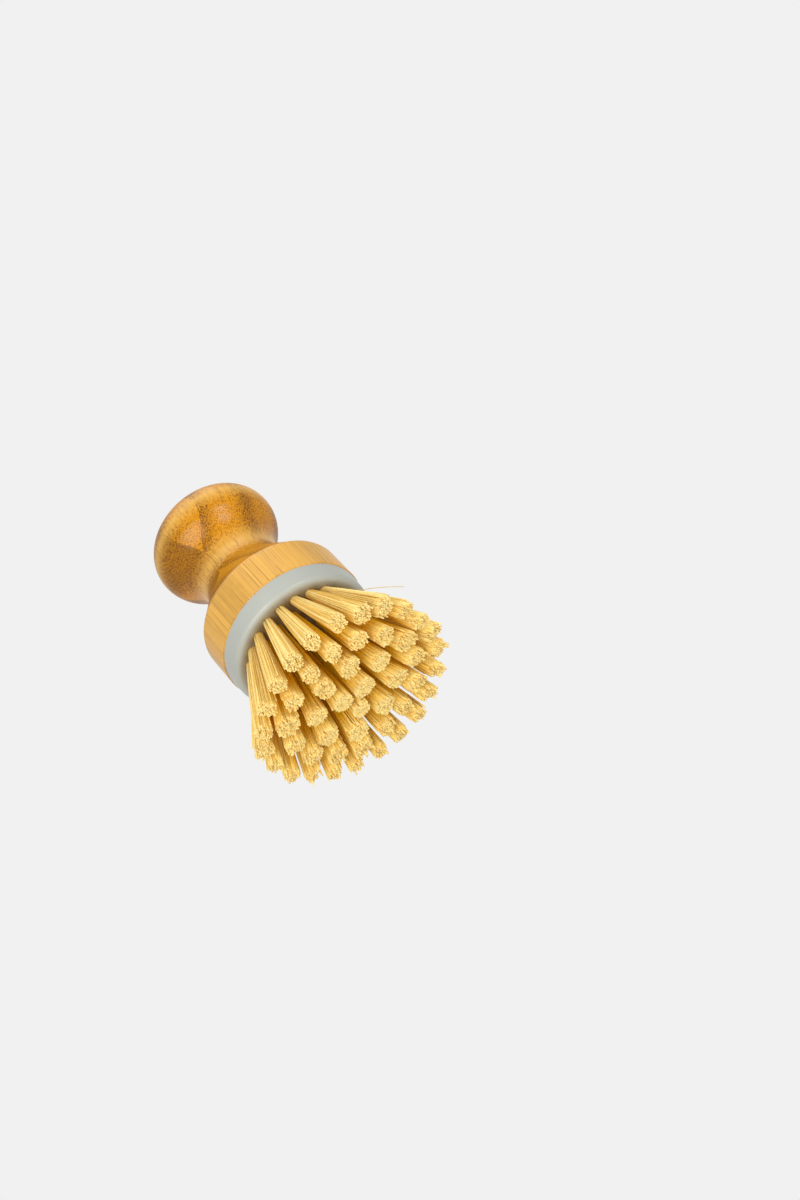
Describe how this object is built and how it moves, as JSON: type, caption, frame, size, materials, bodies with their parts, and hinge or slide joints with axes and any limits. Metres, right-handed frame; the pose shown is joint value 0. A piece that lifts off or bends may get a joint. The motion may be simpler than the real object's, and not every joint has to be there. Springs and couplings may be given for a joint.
{
  "type": "dish brush",
  "caption": "Palm dish brush with a turned bamboo knob handle, a glued plastic bristle block and a fan of stiff plant-fibre tufts for scrubbing dishes and pans.",
  "frame": {"origin": "centre of the flat that the longest bristles are trimmed to, on the surface the brush stands on", "axes": "+Z along the turning axis, from the bristles to the knob; +X above the first tuft of the outer ring"},
  "size_m": [0.0693, 0.0694, 0.1036],
  "materials": {
    "bamboo": "laminated bamboo, satin lacquer",
    "block_plastic": "moulded, semi-gloss grey-green",
    "adhesive": "cured clear glue",
    "anchor_wire": "plain flat wire",
    "bristle": "stiff plant fibre, cut square"
  },
  "bodies": {
    "root": {"handle": "bamboo", "bristle_block": "block_plastic", "adhesive_layer": "adhesive", "tuft_anchors": "anchor_wire", "tuft_ring1_01": "bristle", "tuft_ring1_02": "bristle", "tuft_ring1_03": "bristle", "tuft_ring1_04": "bristle", "tuft_ring1_05": "bristle", "tuft_ring1_06": "bristle", "tuft_ring1_07": "bristle", "tuft_ring1_08": "bristle", "tuft_ring1_09": "bristle", "tuft_ring1_10": "bristle", "tuft_ring1_11": "bristle", "tuft_ring1_12": "bristle", "tuft_ring1_13": "bristle", "tuft_ring1_14": "bristle", "tuft_ring1_15": "bristle", "tuft_ring1_16": "bristle", "tuft_ring1_17": "bristle", "tuft_ring1_18": "bristle", "tuft_ring1_19": "bristle", "tuft_ring1_20": "bristle", "tuft_ring1_21": "bristle", "tuft_ring1_22": "bristle", "tuft_ring1_23": "bristle", "tuft_ring2_01": "bristle", "tuft_ring2_02": "bristle", "tuft_ring2_03": "bristle", "tuft_ring2_04": "bristle", "tuft_ring2_05": "bristle", "tuft_ring2_06": "bristle", "tuft_ring2_07": "bristle", "tuft_ring2_08": "bristle", "tuft_ring2_09": "bristle", "tuft_ring2_10": "bristle", "tuft_ring2_11": "bristle", "tuft_ring2_12": "bristle", "tuft_ring2_13": "bristle", "tuft_ring2_14": "bristle", "tuft_ring2_15": "bristle", "tuft_ring3_01": "bristle", "tuft_ring3_02": "bristle", "tuft_ring3_03": "bristle", "tuft_ring3_04": "bristle", "tuft_ring3_05": "bristle", "tuft_ring3_06": "bristle", "tuft_ring3_07": "bristle", "tuft_ring3_08": "bristle", "tuft_ring4_01": "bristle", "tuft_ring4_02": "bristle", "tuft_ring4_03": "bristle"}
  },
  "joints": []
}
